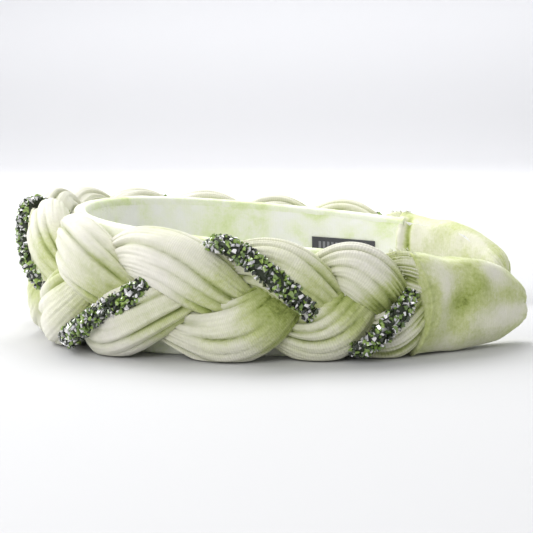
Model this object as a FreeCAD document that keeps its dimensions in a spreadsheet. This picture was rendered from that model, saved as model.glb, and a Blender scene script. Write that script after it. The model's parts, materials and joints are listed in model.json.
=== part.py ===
import FreeCAD, Part
import math
import os
import Sketcher
from FreeCAD import Vector

# Braided velvet hair band, lying on its edge.
#
# Each arm follows three tangent arcs from the crown to its nose. A place on the band is given by
#   run     distance along the middle of the core from the crown, positive on the right arm (-Y)
#           and negative on the left arm (+Y)
#   out     distance from the middle of the core, positive away from the head
#   height  distance above the surface that the band lies on
# The band is cut at the crown into a right and a left half, which a spring hinge joins there.

RIGHT = -1
LEFT = 1
HALVES = {"right": RIGHT, "left": LEFT}
STRANDS = {"a": 0, "b": 1, "c": 2}

SIZES = {
    # plan of one arm, along the middle of the core
    "crown_radius": 88.6,
    "crown_arc": 31.8,
    "shoulder_radius": 51.1,
    "shoulder_arc": 49.2,
    "arm_turn": 58.892,
    "half_length": 188.0,
    "sleeve_length": 41.4,
    # springy core with its velvet cover and lining
    "core_thickness": 2.0,
    "core_nose_gap": 12.0,
    "core_end_radius": 7.0,
    "core_end_height": 23.0,
    "cover_thickness": 0.8,
    "lining_thickness": 0.9,
    "edge_height_crown": 40.2,
    "edge_height_seam": 28.6,
    "edge_lift": 1.2,
    "cover_tuck": 2.0,
    # woven label inside the left arm
    "label_length": 24.0,
    "label_width": 10.0,
    "label_thickness": 0.5,
    "label_to_seam": 10.1,
    "label_lift": 11.5,
    # plait of three filled velvet tubes
    "plait_height": 45.0,
    "plait_thickness": 15.0,
    "plait_pitch": 75.0,
    "plait_lobe_at": 107.5,
    "plait_height_taper": 0.00203,
    "plait_thickness_taper": 0.00102,
    "strand_width": 11.2,
    "strand_gap": 0.9,
    "velvet_wall": 0.9,
    "gather_share": 0.68,
    "gather_before_seam": 10.0,
    "strand_tuck": 9.4,
    # crystal trim, sewn along strand a
    "tape_width": 5.0,
    "tape_thickness": 0.5,
    "tape_offset": 2.2,
    "crystal_radius": 1.0,
    "crystal_rise": 0.8,
    "crystal_pitch": 4.2,
    "trim_gap": 0.4,
    "trim_headroom": 0.3,
    # end sleeves and what they hold
    "sleeve_wall": 1.0,
    "sleeve_room_high": 1.2,
    "sleeve_room_out": 0.8,
    "sleeve_corner": 1.4,
    "nose_height": 8.0,
    "nose_lift": 7.0,
    "nose_thickness": 5.5,
    "nose_out": 1.61,
    "binding_at": 4.0,
    "binding_width": 3.0,
    "binding_thickness": 0.5,
    "binding_corner": 0.5,
    "filling_gap": 3.0,
    # fits
    "clearance": 0.1,
    "layer_gap": 0.6,
    "hinge_gap": 0.15,
    "open_angle": 16.0,
}

# the third arc's radius follows from its length, so that the arms keep their turn on a longer band
DERIVED = {"arm_radius": "=(half_length - crown_arc - shoulder_arc) * 180 / pi / arm_turn"}

doc = FreeCAD.newDocument("braided_hair_band")
sheet = doc.addObject("Spreadsheet::Sheet", "Sizes")
for row, (alias, value) in enumerate({**SIZES, **DERIVED}.items(), start=1):
    sheet.set(f"A{row}", alias)
    sheet.set(f"B{row}", str(value))
    sheet.setAlias(f"B{row}", alias)
doc.recompute()


def size(expression):
    """Number that an expression on the sheet's aliases gives."""
    return float(sheet.evalExpression(bound(expression)))


def bound(expression):
    """The expression with each alias written as Sizes.alias."""
    words = []
    for word in expression.split():
        words.append(f"Sizes.{word}" if word in SIZES or word in DERIVED else word)
    return " ".join(words)


# ---------------------------------------------------------------- plan of the band

SEAM = "half_length - sleeve_length"
CORE_FACE = "core_thickness / 2"
LINING_BACK = "core_thickness / 2 + clearance"
LINING_FACE = "core_thickness / 2 + clearance + lining_thickness"
COVER_FACE = "core_thickness / 2 + clearance + cover_thickness"
PLAIT_BACK = "core_thickness / 2 + clearance + cover_thickness + layer_gap"

# degrees that each crown cut leans beyond half of the open angle
OPEN_SLACK = 0.4
# how far a cutting shape runs past the shape that it cuts
OVERRUN = 1.0

hinge_slope = math.tan(math.radians(size("open_angle") / 2 + OPEN_SLACK))


def plan_arcs(side):
    """The three arcs of one arm: radius, its name, centre, and turn and run at its two ends."""
    spans = [("crown_radius", size("crown_arc")), ("shoulder_radius", size("shoulder_arc"))]
    spans.append(("arm_radius", size("half_length - crown_arc - shoulder_arc")))
    arcs = []
    point = Vector(0, 0, 0)
    turn = 0.0
    run = 0.0
    for name, length in spans:
        radius = size(name)
        centre = point - outward(turn, side) * radius
        end_turn = turn + length / radius
        arcs.append((radius, name, centre, turn, end_turn, run, run + length))
        point = centre + outward(end_turn, side) * radius
        turn = end_turn
        run += length
    return arcs


def outward(turn, side):
    return Vector(-math.cos(turn), side * math.sin(turn), 0)


def place(run, out=0.0, height=0.0):
    """Point of the band, from its run, its distance outside the core's middle and its height."""
    side = RIGHT if run >= 0 else LEFT
    arcs = plan_arcs(side)
    along = abs(run)
    arc = next((a for a in arcs if along <= a[6]), arcs[-1])
    radius, _, centre, turn, _, start, _ = arc
    here = turn + (along - start) / radius
    return centre + outward(here, side) * (radius + out) + Vector(0, 0, height)


def band_axes(run):
    """Unit vectors at a run: towards greater run, and outward."""
    step = 0.01
    along = (place(run + step) - place(run - step)).normalize()
    return along, (place(run, 1.0) - place(run)).normalize()


# ---------------------------------------------------------------- flat strips

def origin_plane(body, role):
    return next(f for f in body.Origin.OriginFeatures if f.Role == role)


def new_sketch(body, name, role, lift=0.0):
    sketch = body.newObject("Sketcher::SketchObject", name)
    sketch.AttachmentSupport = [(origin_plane(body, role), "")]
    sketch.MapMode = "FlatFace"
    sketch.AttachmentOffset = FreeCAD.Placement(Vector(0, 0, lift), FreeCAD.Rotation())
    return sketch


def add_offset_arcs(sketch, side, out, start, end):
    """Adds the arm's arcs at an offset from the core's middle; returns their indices and ends.

    A start of None is the crown cut, which leans back outside the hinge so that the band can open.
    """
    offset = size(out)
    chain = []
    for radius, name, centre, turn, end_turn, from_run, to_run in plan_arcs(side):
        wide = radius + offset
        if start is None:
            cut = size("hinge_gap") + max(offset, 0.0) * hinge_slope
            first = max(turn, math.asin(cut / wide)) if from_run == 0 else turn
        else:
            first = max(turn, turn + (start - from_run) / radius)
        last = min(end_turn, turn + (end - from_run) / radius)
        if last <= first:
            continue
        directions = []
        for bend in (first, last):
            directions.append(math.atan2(side * math.sin(bend), -math.cos(bend)) % (2 * math.pi))
        directions.sort()
        circle = Part.Circle(centre, Vector(0, 0, 1), wide)
        index = sketch.addGeometry(Part.ArcOfCircle(circle, directions[0], directions[1]))
        constraint = sketch.addConstraint(Sketcher.Constraint("Radius", index, wide))
        sketch.setExpression(f"Constraints[{constraint}]", bound(f"{name} + {out}"))
        near, far = (1, 2) if side == RIGHT else (2, 1)
        chain.append((index, near, far))
    for (before, _, far), (after, near, _) in zip(chain, chain[1:]):
        sketch.addConstraint(Sketcher.Constraint("Coincident", before, far, after, near))
    return chain


def join_ends(sketch, first, second):
    """A straight line between two arc ends, each given as (index, vertex)."""
    line = sketch.addGeometry(Part.LineSegment(sketch.getPoint(*first), sketch.getPoint(*second)))
    sketch.addConstraint(Sketcher.Constraint("Coincident", line, 1, *first))
    sketch.addConstraint(Sketcher.Constraint("Coincident", line, 2, *second))


def strip_body(label, side, inner, outer, start, end, lift, rise):
    """A bent strip, standing on its edge: padded plan outline between two offsets of the arm."""
    body = doc.addObject("PartDesign::Body", label)
    body.Label = label
    outline = new_sketch(body, f"{label}_outline", "XY_Plane", size(lift))
    inside = add_offset_arcs(outline, side, inner, start, end)
    outside = add_offset_arcs(outline, side, outer, start, end)
    join_ends(outline, (inside[0][0], inside[0][1]), (outside[0][0], outside[0][1]))
    join_ends(outline, (inside[-1][0], inside[-1][2]), (outside[-1][0], outside[-1][2]))
    pad = body.newObject("PartDesign::Pad", f"{label}_pad")
    pad.Profile = outline
    pad.Length = size(rise)
    pad.setExpression("Length", bound(rise))
    doc.recompute()
    return body


def slope_top(body, side, inset, low_run, low_height):
    """Cuts the strip's upper edge down from the crown to the seam, and on to its end."""
    before = body.Shape.Volume
    profile = new_sketch(body, f"{body.Label}_slope", "XZ_Plane")
    seam = place(side * -size(SEAM)).x
    end = place(side * -low_run).x
    beyond = 20.0
    top = size("edge_height_crown") + beyond
    heights = [f"edge_height_crown - {inset}", f"edge_height_seam - {inset}", low_height]
    tail = size(low_height) + (size(low_height) - size(heights[1])) * beyond / max(end - seam, beyond)
    corners = [Vector(-beyond, top, 0), Vector(-beyond, size(heights[0]), 0), Vector(0, size(heights[0]), 0)]
    corners.append(Vector(seam, size(heights[1]), 0))
    corners.append(Vector(end, size(low_height), 0))
    corners.append(Vector(end + beyond, tail, 0))
    corners.append(Vector(end + beyond, top, 0))
    lines = []
    for corner, following in zip(corners, corners[1:] + corners[:1]):
        lines.append(profile.addGeometry(Part.LineSegment(corner, following)))
    for line, following in zip(lines, lines[1:] + lines[:1]):
        profile.addConstraint(Sketcher.Constraint("Coincident", line, 2, following, 1))
    for line, height in zip(lines[2:5], heights):
        pick = profile.addConstraint(Sketcher.Constraint("DistanceY", -1, 1, line, 1, size(height)))
        profile.setExpression(f"Constraints[{pick}]", bound(height))
    pocket = body.newObject("PartDesign::Pocket", f"{body.Label}_slope_cut")
    pocket.Profile = profile
    pocket.Type = "ThroughAll"
    pocket.SideType = "Symmetric"
    doc.recompute()
    if not body.Shape.Volume < before:
        raise RuntimeError(f"the slope of {body.Label} cut nothing")


def round_end(body, side, end, radius):
    """Rounds the two corners at the free end of a strip, seen along the radius."""
    tip = place(side * -end)
    along, _ = band_axes(side * -end)
    at_tip = 0.05
    longest = 1.5 * size("core_thickness")
    corners = []
    for number, edge in enumerate(body.Shape.Edges, start=1):
        ends = [abs((vertex.Point - tip).dot(along)) for vertex in edge.Vertexes]
        if max(ends) < at_tip and edge.Length < longest:
            corners.append(f"Edge{number}")
    sloped = body.Tip
    fillet = body.newObject("PartDesign::Fillet", f"{body.Label}_rounding")
    fillet.Base = (sloped, corners)
    fillet.Radius = size(radius)
    fillet.setExpression("Radius", bound(radius))
    doc.recompute()


# ---------------------------------------------------------------- solids through sections

SECTION_POINTS = 12


def ellipse(centre, wide_axis, wide, thin_axis, thin):
    """Poles of a closed cubic curve that lies on an ellipse."""
    turn = 2 * math.pi / SECTION_POINTS
    pull = 3 / (2 + math.cos(turn))
    poles = []
    for number in range(SECTION_POINTS):
        angle = turn * number
        arm = wide_axis * (wide * math.cos(angle)) + thin_axis * (thin * math.sin(angle))
        poles.append(centre + arm * pull)
    return poles


def tube(sections):
    """Closed solid of one cubic surface along rows of section poles, with a flat face at each end."""
    spans = len(sections) - 3
    surface = Part.BSplineSurface()
    surface.buildFromPolesMultsKnots(
        sections,
        [4] + [1] * (spans - 1) + [4],
        [1] * (SECTION_POINTS + 1),
        [float(knot) for knot in range(spans + 1)],
        [float(knot) for knot in range(SECTION_POINTS + 1)],
        False,
        True,
        3,
        3,
    )
    side = surface.toShape()
    rims = [edge for edge in side.Edges if edge.isClosed()]
    faces = [side] + [Part.Face(Part.Wire([rim])) for rim in rims]
    solid = Part.Solid(Part.Shell(faces))
    if not solid.isValid():
        solid.fix(0.001, 0.001, 0.01)
    if solid.Volume < 0:
        solid.reverse()
    return solid


def rounded_rectangle(centre, axis_u, half_u, axis_v, half_v, corner):
    """Closed wire of four straight sides and four arcs."""
    spread = corner / math.sqrt(2)
    edges = []
    turns = [(1, 1), (-1, 1), (-1, -1), (1, -1)]
    arcs = []
    for sign_u, sign_v in turns:
        heart = centre + axis_u * (sign_u * (half_u - corner)) + axis_v * (sign_v * (half_v - corner))
        on_u = heart + axis_u * (sign_u * corner)
        on_v = heart + axis_v * (sign_v * corner)
        through = heart + axis_u * (sign_u * spread) + axis_v * (sign_v * spread)
        arcs.append((on_u, through, on_v) if sign_u == sign_v else (on_v, through, on_u))
    for (first, through, last), (following, _, _) in zip(arcs, arcs[1:] + arcs[:1]):
        edges.append(Part.Arc(first, through, last).toShape())
        edges.append(Part.LineSegment(last, following).toShape())
    return Part.Wire(edges)


def loft(wires):
    return Part.makeLoft(wires, True, False)


def crown_wedge(side):
    """What the other half takes up, with the lean that lets the band open."""
    reach = 2 * size("plait_height")
    gap = size("hinge_gap")
    corners = [
        Vector(reach, side * gap, -reach),
        Vector(0, side * gap, -reach),
        Vector(-reach, side * (gap + reach * hinge_slope), -reach),
        Vector(-reach, -side * reach, -reach),
        Vector(reach, -side * reach, -reach),
    ]
    face = Part.Face(Part.makePolygon(corners + corners[:1]))
    return face.extrude(Vector(0, 0, 3 * reach))


def under_floor():
    reach = 2 * size("half_length")
    deep = size("plait_height")
    return Part.makeBox(reach, reach, deep, Vector(-reach / 2, -reach / 2, -deep))


def add_piece(label, shape):
    piece = doc.addObject("Part::Feature", label)
    piece.Label = label
    piece.Shape = shape
    return piece


# ---------------------------------------------------------------- core, cover, lining, label

def make_core(name, side):
    end = size("half_length - core_nose_gap")
    label = f"{name}_core"
    core = strip_body(label, side, f"0 - {CORE_FACE}", CORE_FACE, None, end,
                      "edge_lift + cover_thickness + clearance", "edge_height_crown")
    slope_top(core, side, "cover_thickness - clearance", end, "core_end_height")
    round_end(core, side, end, "core_end_radius")
    return core


def make_lining(name, side):
    end = size(f"{SEAM} + cover_tuck")
    lining = strip_body(f"{name}_lining", side, f"0 - {LINING_FACE.replace('+', '-')}",
                        f"0 - {LINING_BACK.replace('+', '-')}", None, end,
                        "edge_lift + cover_thickness + clearance", "edge_height_crown")
    slope_top(lining, side, "cover_thickness - clearance", end,
              "edge_height_seam - cover_thickness - clearance")
    return lining


def make_cover(name, side):
    """Velvet over the back of the core, turned over both of its edges."""
    end = size(f"{SEAM} + cover_tuck")
    inner = f"0 - {LINING_FACE.replace('+', '-')}"
    skin = strip_body(f"{name}_cover_skin", side, inner, COVER_FACE, None, end,
                      "edge_lift", "edge_height_crown")
    slope_top(skin, side, "0", end, "edge_height_seam")
    room = strip_body(f"{name}_cover_room", side, f"{inner} - {OVERRUN}", LINING_BACK,
                      -OVERRUN, end + OVERRUN, "edge_lift + cover_thickness", "edge_height_crown")
    slope_top(room, side, "cover_thickness", end, "edge_height_seam - cover_thickness")
    cover = doc.addObject("Part::Cut", f"{name}_cover")
    cover.Label = f"{name}_cover"
    cover.Base = skin
    cover.Tool = room
    return cover


def make_label():
    far = size(f"{SEAM} - label_to_seam")
    face = LINING_FACE.replace("+", "-")
    inner = f"0 - {face} - clearance - label_thickness"
    return strip_body("woven_label", LEFT, inner, f"0 - {face} - clearance", far - size("label_length"), far,
                      "label_lift", "label_width")


# ---------------------------------------------------------------- plait

def gather(run):
    """Share of its full section that the plait keeps as it runs into the sleeve."""
    start = size(f"{SEAM} - gather_before_seam")
    end = size(f"{SEAM} + strand_tuck")
    part = min(max((abs(run) - start) / (end - start), 0.0), 1.0)
    return 1.0 - (1.0 - size("gather_share")) * part * part * (3 - 2 * part)


def plait_scale(run):
    """Scale of the plait's height and thickness at a run."""
    high = 1 - size("plait_height_taper") * abs(run)
    thick = 1 - size("plait_thickness_taper") * abs(run)
    return high, thick


# phase of strand a where its lobe is centred, and how far the trim's sway lags behind the strand
LOBE_PHASE = math.radians(135)
TRIM_LAG = math.radians(45)
# phase between two strands
STRAND_TURN = math.radians(120)


def phase(run, strand):
    lobes = (run - size("plait_lobe_at")) / size("plait_pitch")
    return 2 * math.pi * (lobes + STRANDS[strand] / 3) + LOBE_PHASE


def half_thickness():
    """Half thickness of one strand: two of them and a gap share the plait where they cross."""
    swing = size("plait_thickness") / 2 / (1 + math.sin(STRAND_TURN))
    return swing, swing * math.sin(STRAND_TURN) - size("strand_gap") / 2


SECTIONS_PER_PITCH = 16


def smoothing_pull(waves):
    """How much further out the poles of a cubic curve lie than the wave that it draws."""
    return 3 / (2 + math.cos(2 * math.pi * waves / SECTIONS_PER_PITCH))


def strand_centre(run, strand, sink=0.0, pull_up=1.0, pull_out=1.0):
    """Middle of a strand. It swings between the edges, outside on its way in from each edge."""
    high, thick = plait_scale(run)
    kept = gather(run)
    angle = phase(run, strand)
    swing_out, _ = half_thickness()
    middle = size("plait_height") / 2 * high
    swing_up = (size("plait_height") / 2 - size("strand_width") / 2) * high * kept
    layers = (size("plait_thickness") / 2 - swing_out * pull_out * math.sin(2 * angle) - sink) * thick * kept
    return place(run, size(PLAIT_BACK) + layers, middle + swing_up * pull_up * math.sin(angle))


def strand_axes(run, strand):
    step = 0.5
    along = (strand_centre(run + step, strand) - strand_centre(run - step, strand)).normalize()
    _, out = band_axes(run)
    across = along.cross(out).normalize()
    return across, across.cross(along).normalize()


def strand_runs(side, extra=0.0):
    """Runs of the sections of one half of a strand, from just past the crown to its tuck."""
    step = size("plait_pitch") / SECTIONS_PER_PITCH
    end = size(f"{SEAM} + strand_tuck") + extra
    count = math.ceil((end + step) / step)
    return [-side * (-step + (end + step) * i / count) for i in range(count + 1)]


def trim_room(strand):
    """Thickness that the trim takes from the strand it is sewn to."""
    return size("tape_thickness + crystal_rise + trim_gap + trim_headroom") if strand == "a" else 0.0


def strand_section(run, strand, shrink):
    high, thick = plait_scale(run)
    kept = gather(run)
    _, half = half_thickness()
    covered = trim_room(strand)
    wide = size("strand_width") / 2 * high * kept - shrink
    thin = (half - covered / 2) * thick * kept - shrink
    across, out = strand_axes(run, strand)
    centre = strand_centre(run, strand, covered / 2, smoothing_pull(1), smoothing_pull(2))
    return ellipse(centre, across, wide, out, thin)


def make_strand(name, side, strand):
    """A velvet tube, open at both ends, and the wadding that fills it."""
    wall = size("velvet_wall")
    cut = crown_wedge(side).fuse(under_floor())
    skin = tube([strand_section(run, strand, 0.0) for run in strand_runs(side)])
    room = tube([strand_section(run, strand, wall) for run in strand_runs(side, 1.0)])
    fill = tube([strand_section(run, strand, wall + size("clearance")) for run in strand_runs(side)])
    velvet = add_piece(f"{name}_strand_{strand}", skin.cut(room).cut(cut))
    wadding = add_piece(f"{name}_wadding_{strand}", fill.cut(cut))
    return [velvet, wadding]


# ---------------------------------------------------------------- crystal trim

# share of the tape's free width that the chips step to each side
CHIP_SWAY = 0.8


def trim_place(run, rise, pull_up=1.0, pull_out=1.0):
    """Point above strand a's outer face, on the crown side of its lobes."""
    _, thick = plait_scale(run)
    kept = gather(run)
    _, half = half_thickness()
    covered = trim_room("a")
    aside = -size("tape_offset") * math.sin(phase(run, "a") - TRIM_LAG) * kept
    across, out = strand_axes(run, "a")
    top = (half - covered / 2) * thick * kept
    lift = top + size("trim_gap") + rise
    return strand_centre(run, "a", covered / 2, pull_up, pull_out) - across * aside + out * lift


def trim_section(run):
    across, out = strand_axes(run, "a")
    half_rise = size("tape_thickness") / 2
    middle = trim_place(run, half_rise, smoothing_pull(1), smoothing_pull(2))
    return ellipse(middle, across, size("tape_width") / 2 * gather(run), out, half_rise)


def make_trim(name, side):
    tape = tube([trim_section(run) for run in strand_runs(side)])
    tape_piece = add_piece(f"{name}_trim_tape", tape.cut(crown_wedge(side)).cut(under_floor()))
    chips = []
    pitch = size("crystal_pitch")
    last = size(f"{SEAM} + strand_tuck")
    radius = size("crystal_radius")
    base = size("tape_thickness + clearance")
    for number in range(1, int(last / pitch)):
        run = -side * number * pitch
        across, out = strand_axes(run, "a")
        sway = (size("tape_width") / 2 - radius) * gather(run) * (-CHIP_SWAY if number % 2 else CHIP_SWAY)
        foot = trim_place(run, base) + across * sway
        chips.append(Part.makeCone(radius, radius / 2, size("crystal_rise"), foot, out))
    return [tape_piece, add_piece(f"{name}_crystals", Part.makeCompound(chips))]


# ---------------------------------------------------------------- sleeves and bindings

# share of the sleeve's height and thickness that it loses evenly; the rest goes near the nose
EVEN_LOWERING = 0.25
EVEN_THINNING = 0.66
NOSE_POWER = 4
# how far the sleeve's round underside would reach below the surface, which presses it flat
FLOOR_BITE = 0.3
SLEEVE_SPANS = 8
# least corner radius of the sleeve's section, and its greatest share of the section's half width
LEAST_CORNER = 0.5
CORNER_SHARE = 0.8


def seam_limits():
    """Height of the sleeve at its seam, and its outer limit there: room for the plait and the core."""
    run = size(SEAM)
    high, thick = plait_scale(run)
    kept = gather(run)
    plait_top = size("plait_height") / 2 * high * (1 + kept)
    top = max(plait_top, size("edge_height_seam")) + size("sleeve_room_high + sleeve_wall")
    plait_face = size(PLAIT_BACK) + size("plait_thickness") * thick * kept
    return top, plait_face + size("sleeve_room_out + sleeve_wall")


def sleeve_room(run, inset):
    """Low, high, inner and outer limit of the sleeve at a run, drawn in by an inset."""
    along = (abs(run) - size(SEAM)) / size("sleeve_length")
    closing = max(along, 0.0) ** NOSE_POWER
    high_seam, outer_seam = seam_limits()
    lowering = high_seam - size("nose_height + nose_lift")
    high = high_seam - lowering * (EVEN_LOWERING * along + (1 - EVEN_LOWERING) * closing)
    low = -FLOOR_BITE + (size("nose_lift") + FLOOR_BITE) * closing
    inner_seam = -size(f"{LINING_FACE} + 2 * clearance + sleeve_wall")
    inner_end = size("nose_out")
    outer_end = size("nose_out + nose_thickness")
    thinning = outer_seam - outer_end
    outer = outer_seam - thinning * (EVEN_THINNING * along + (1 - EVEN_THINNING) * closing)
    inner = inner_seam + (inner_end - inner_seam) * closing
    return low + inset, high - inset, inner + inset, outer - inset


def sleeve_section(run, inset, inner_limit=None):
    low, high, inner, outer = sleeve_room(run, inset)
    inner = inner if inner_limit is None else max(inner, inner_limit)
    along, out = band_axes(run)
    up = Vector(0, 0, 1)
    half_u = (outer - inner) / 2
    half_v = (high - low) / 2
    wanted = max(size("sleeve_corner") - inset / 2, LEAST_CORNER)
    corner = min(wanted, CORNER_SHARE * half_u, CORNER_SHARE * half_v)
    centre = place(run, (outer + inner) / 2, (high + low) / 2)
    return rounded_rectangle(centre, out, half_u, up, half_v, corner)


def runs_between(side, start, end):
    return [-side * (start + (end - start) * i / SLEEVE_SPANS) for i in range(SLEEVE_SPANS + 1)]


def make_sleeve(name, side):
    wall = size("sleeve_wall")
    seam = size(SEAM)
    nose = size("half_length")
    skin = loft([sleeve_section(run, 0.0) for run in runs_between(side, seam, nose)])
    room = loft([sleeve_section(run, wall) for run in runs_between(side, seam - OVERRUN, nose - wall)])
    sleeve = add_piece(f"{name}_sleeve", skin.cut(room).cut(under_floor()))
    start = size(f"{SEAM} + strand_tuck + filling_gap")
    inset = wall + size("clearance")
    flat = size(f"{CORE_FACE} + clearance")
    fill_runs = runs_between(side, start, nose - wall - size("filling_gap") / 2)
    fill = loft([sleeve_section(run, inset, flat) for run in fill_runs])
    return [sleeve, add_piece(f"{name}_sleeve_wadding", fill.cut(under_floor()))]


def make_binding(name, side):
    """Thread wound round the core and the gathered strands."""
    near = size(f"{SEAM} + binding_at")
    run = -side * (near + size("binding_width") / 2)
    high, thick = plait_scale(near)
    kept = gather(near)
    along, out = band_axes(run)
    gap = size("layer_gap") / 2
    inner = -size(f"{CORE_FACE} + clearance")
    outer = size(PLAIT_BACK) + size("plait_thickness") * thick * kept + gap
    low = size("edge_lift + cover_thickness - clearance")
    plait_top = size("plait_height") / 2 * high * (1 + kept) + gap
    top = max(size("edge_height_seam - cover_thickness + clearance"), plait_top)
    centre = place(run, (inner + outer) / 2, (low + top) / 2)
    up = Vector(0, 0, 1)
    rings = []
    for grow in (0.0, size("binding_thickness")):
        corner = size("binding_corner") + grow
        wire = rounded_rectangle(centre, out, (outer - inner) / 2 + grow, up, (top - low) / 2 + grow, corner)
        face = Part.Face(wire)
        face.translate(along * (-size("binding_width") / 2))
        rings.append(face.extrude(along * size("binding_width")))
    return add_piece(f"{name}_binding", rings[1].cut(rings[0]))


# ---------------------------------------------------------------- whole band

def make_half(name, side):
    pieces = [make_core(name, side), make_cover(name, side), make_lining(name, side)]
    for strand in STRANDS:
        pieces += make_strand(name, side, strand)
    pieces += make_trim(name, side)
    pieces.append(make_binding(name, side))
    pieces += make_sleeve(name, side)
    return pieces


def check(pieces):
    for entry in doc.Objects:
        if "Invalid" in entry.State or "Error" in entry.State:
            raise RuntimeError(f"{entry.Name} failed: {entry.State}")
    for piece in pieces:
        if piece.Shape.isNull() or not piece.Shape.isValid():
            raise RuntimeError(f"{piece.Label} has no valid shape")
        if not piece.Shape.Solids:
            raise RuntimeError(f"{piece.Label} holds no solid")


def centre_on_floor(pieces):
    """Moves every piece so that the origin is under the middle of the whole band."""
    box = FreeCAD.BoundBox()
    for piece in pieces:
        box.add(piece.Shape.optimalBoundingBox(False, False))
    shift = Vector(-(box.XMin + box.XMax) / 2, 0, -box.ZMin)
    for piece in pieces:
        piece.Placement = FreeCAD.Placement(shift, FreeCAD.Rotation())
    return shift, box


pieces = []
for half, half_side in HALVES.items():
    pieces += make_half(half, half_side)
pieces.append(make_label())
doc.recompute()
check(pieces)
shift, box = centre_on_floor(pieces)
doc.recompute()
check(pieces)

os.makedirs("parts", exist_ok=True)
for piece in pieces:
    piece.Shape.exportStep(f"parts/{piece.Label}.step")
    print(f"{piece.Label}: {len(piece.Shape.Solids)} solids, {piece.Shape.Volume:.1f} mm3")
print(f"hinge at x {shift.x:.3f} mm; size {box.XLength:.2f} x {box.YLength:.2f} x {box.ZLength:.2f} mm")
print(f"left side {box.YMax:.2f}, right side {box.YMin:.2f} mm")
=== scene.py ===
import json
import math

import bmesh
import bpy
import numpy as np
from mathutils import Matrix, Vector, noise


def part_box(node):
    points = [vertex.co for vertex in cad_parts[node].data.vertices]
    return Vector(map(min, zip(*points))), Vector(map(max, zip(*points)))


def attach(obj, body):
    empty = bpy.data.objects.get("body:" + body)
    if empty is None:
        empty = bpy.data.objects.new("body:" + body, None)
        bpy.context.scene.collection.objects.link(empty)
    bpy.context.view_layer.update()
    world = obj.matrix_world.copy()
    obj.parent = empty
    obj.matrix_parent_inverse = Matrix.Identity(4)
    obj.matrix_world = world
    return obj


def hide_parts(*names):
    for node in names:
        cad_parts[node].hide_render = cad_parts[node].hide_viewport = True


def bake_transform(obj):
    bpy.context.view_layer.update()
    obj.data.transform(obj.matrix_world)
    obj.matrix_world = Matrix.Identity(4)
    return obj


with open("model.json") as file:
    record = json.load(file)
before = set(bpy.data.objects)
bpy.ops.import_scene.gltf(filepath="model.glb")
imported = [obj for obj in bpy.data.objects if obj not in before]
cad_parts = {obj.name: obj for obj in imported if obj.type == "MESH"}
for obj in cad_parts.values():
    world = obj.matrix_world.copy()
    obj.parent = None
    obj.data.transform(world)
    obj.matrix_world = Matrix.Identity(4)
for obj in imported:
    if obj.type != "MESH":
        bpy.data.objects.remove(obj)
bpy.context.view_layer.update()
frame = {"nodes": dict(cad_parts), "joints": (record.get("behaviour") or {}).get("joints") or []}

# Braided velvet hair band with a crushed-crystal trim, lying on its edge.
#
# Lengths are in millimetres in the builders below, and each mesh is scaled to metres as it is made.
# A place on the band is given by its run (distance along the core from the crown, positive on the
# right arm), its out (distance from the core's middle, positive away from the head) and its height.

MM = 0.001
CROWN_X = frame["joints"][0]["pos_m"][0] / MM
RIGHT_BODY = "right_half"
LEFT_BODY = "left_half"

# plan of one arm: radius and length of its three tangent arcs
ARCS = [(88.6, 31.8), (51.1, 49.2), (104.1, 140.0)]
SEAM = 146.6           # where the sleeves start
NOSE = 188.0           # where they end

PLAIT_HEIGHT = 45.0
PLAIT_BACK = 2.3
PLAIT_THICK = 15.2
PITCH = 75.0
LOBE_AT = 105.0
# how much later than even spacing the lobes come, at runs along the band
LATER_AT = [-160, -125, -60, 60, 72, 88, 104, 118, 124, 130, 136, 142, 160]
LATER_BY = [3.0, 3.0, 0.0, 0.0, 1.5, 6.0, 9.0, 8.5, 7.5, 5.0, 1.5, -1.5, -2.0]
# share of its height and thickness that the plait loses for each millimetre from the crown
HEIGHT_TAPER = 0.00203
THICK_TAPER = 0.00102


# ---------------------------------------------------------------- places on the band

def band_axes(run):
    """Plan points, run directions and outward directions at an array of runs."""
    run = np.asarray(run, float)
    side = np.where(run >= 0, -1.0, 1.0)
    along = np.abs(run)
    x = np.zeros_like(along)
    y = np.zeros_like(along)
    turn = np.zeros_like(along)
    start = 0.0
    for radius, length in ARCS:
        part = np.clip(along - start, 0.0, length) / radius
        x += radius * (np.cos(turn) - np.cos(turn + part))
        y += radius * (np.sin(turn + part) - np.sin(turn))
        turn = turn + part
        start += length
    # the offsets above are for a curve that starts along Y and turns towards +X
    zero = np.zeros_like(x)
    point = np.stack([CROWN_X + x, side * y, zero], -1)
    out = np.stack([-np.cos(turn), side * np.sin(turn), zero], -1)
    ahead = np.stack([-side * np.sin(turn), -np.cos(turn), zero], -1)
    return point, ahead, out


def place(run, out, height):
    """Points of the band; the three arrays have one shape."""
    point, _, outward = band_axes(run)
    spot = point + outward * np.asarray(out, float)[..., None]
    spot[..., 2] = height
    return spot


def smooth(value, low, high):
    """Eased step from 0 at low to 1 at high."""
    part = np.clip((np.asarray(value, float) - low) / (high - low), 0.0, 1.0)
    return part * part * (3 - 2 * part)


def mix(low, high, share):
    """Value a share of the way from low to high."""
    return low + (high - low) * share


def noise_field(points, scale, seed=0.0, octaves=2):
    """Smooth noise from -1 to 1 at an array of points in millimetres."""
    flat = np.asarray(points, float).reshape(-1, 3)
    shift = Vector((seed * 17.3, seed * 5.1, seed * 9.7))
    values = [noise.fractal(Vector(p) / scale + shift, 1.0, 2.0, octaves) for p in flat]
    return np.array(values).reshape(np.asarray(points).shape[:-1])


# ---------------------------------------------------------------- meshes

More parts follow.
